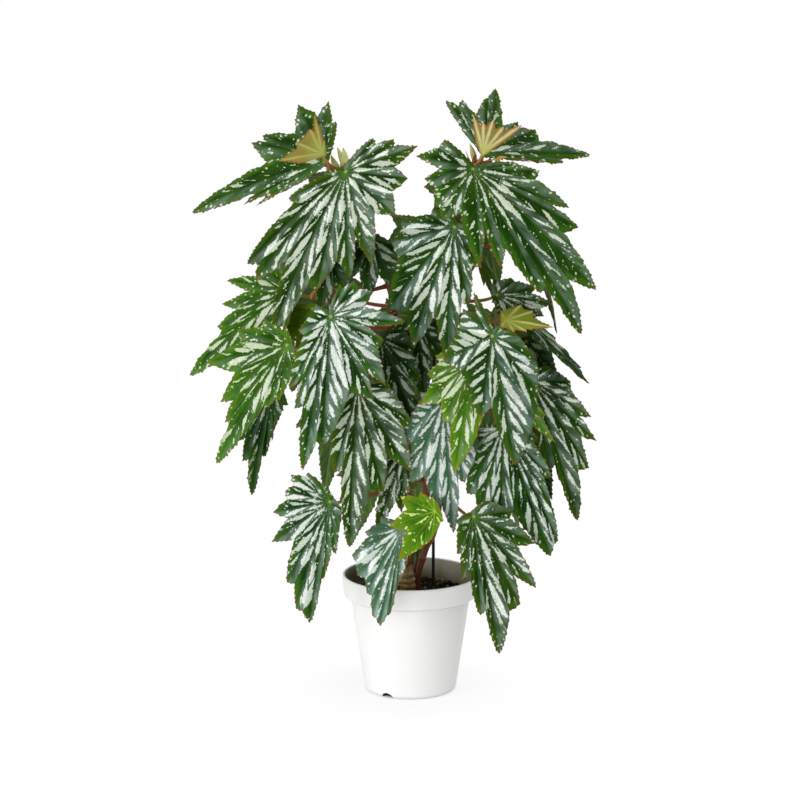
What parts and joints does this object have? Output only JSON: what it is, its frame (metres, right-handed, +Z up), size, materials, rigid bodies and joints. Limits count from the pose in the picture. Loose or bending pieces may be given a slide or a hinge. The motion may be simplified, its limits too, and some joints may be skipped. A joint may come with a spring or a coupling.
{
  "type": "potted begonia",
  "caption": "Angel-wing begonia with silver-streaked lobed leaves on jointed canes, standing in a tapered white nursery pot of soil.",
  "frame": {"origin": "centre of the pot's underside, on the surface it stands on", "axes": "+Z up along the pot's axis; the plant's fullest side faces -Y; +X is to the right of that side"},
  "size_m": [0.388, 0.2565, 0.5728],
  "materials": {
    "pot_plastic": "white moulded polypropylene, faint sheen",
    "potting_mix": "dark crumbly peat and bark mix",
    "stake_coating": "black coated rod",
    "cane_bark": "smooth red-brown cane with ringed joints",
    "old_bark": "rough green-brown ringed bark",
    "leaf_blade": "satin green leaf with silver-white streaks between the veins",
    "young_leaf": "satin yellow-green to bronze young leaf",
    "bud_scale": "pale yellow-green bud scale"
  },
  "bodies": {
    "root": {"pot": "pot_plastic", "soil": "potting_mix", "stake": "stake_coating", "cane_left": "cane_bark", "cane_right": "cane_bark", "cane_foot": "old_bark", "leaf_left_crown": "leaf_blade", "leaf_left_main": "leaf_blade", "leaf_left_wing": "leaf_blade", "leaf_left_side": "leaf_blade", "leaf_left_under": "leaf_blade", "leaf_left_low": "leaf_blade", "leaf_mid_high": "leaf_blade", "leaf_mid_left": "leaf_blade", "leaf_mid_core": "leaf_blade", "leaf_mid_right": "leaf_blade", "leaf_mid_hidden": "leaf_blade", "leaf_mid_drop": "leaf_blade", "leaf_mid_low": "leaf_blade", "leaf_over_rim": "leaf_blade", "leaf_young_low": "young_leaf", "leaf_low_small": "leaf_blade", "leaf_right_crown": "leaf_blade", "leaf_right_main": "leaf_blade", "leaf_right_small": "young_leaf", "leaf_right_dark": "leaf_blade", "leaf_right_olive": "young_leaf", "leaf_right_edge": "leaf_blade", "leaf_right_front": "leaf_blade", "leaf_right_side": "leaf_blade", "leaf_right_deep": "leaf_blade", "leaf_right_low": "leaf_blade", "leaf_right_fresh": "young_leaf", "leaf_inner_left_high": "leaf_blade", "leaf_inner_left": "leaf_blade", "leaf_inner_back": "leaf_blade", "leaf_inner_core": "leaf_blade", "leaf_inner_right": "leaf_blade", "leaf_inner_deep": "leaf_blade", "leaf_back_left_high": "leaf_blade", "leaf_back_right_high": "leaf_blade", "leaf_back_mid_high": "leaf_blade", "leaf_back_left": "leaf_blade", "leaf_back_right": "leaf_blade", "leaf_back_mid": "leaf_blade", "leaf_back_left_low": "leaf_blade", "leaf_back_right_low": "leaf_blade", "leaf_back_low": "leaf_blade", "leaf_back_foot": "leaf_blade", "leaf_side_left_high": "leaf_blade", "leaf_side_left": "leaf_blade", "leaf_side_right_high": "leaf_blade", "leaf_side_right": "leaf_blade", "leaf_side_low": "leaf_blade", "leaf_left_young": "young_leaf", "leaf_right_young": "young_leaf", "bud_left": "bud_scale", "bud_right": "bud_scale"}
  },
  "joints": []
}
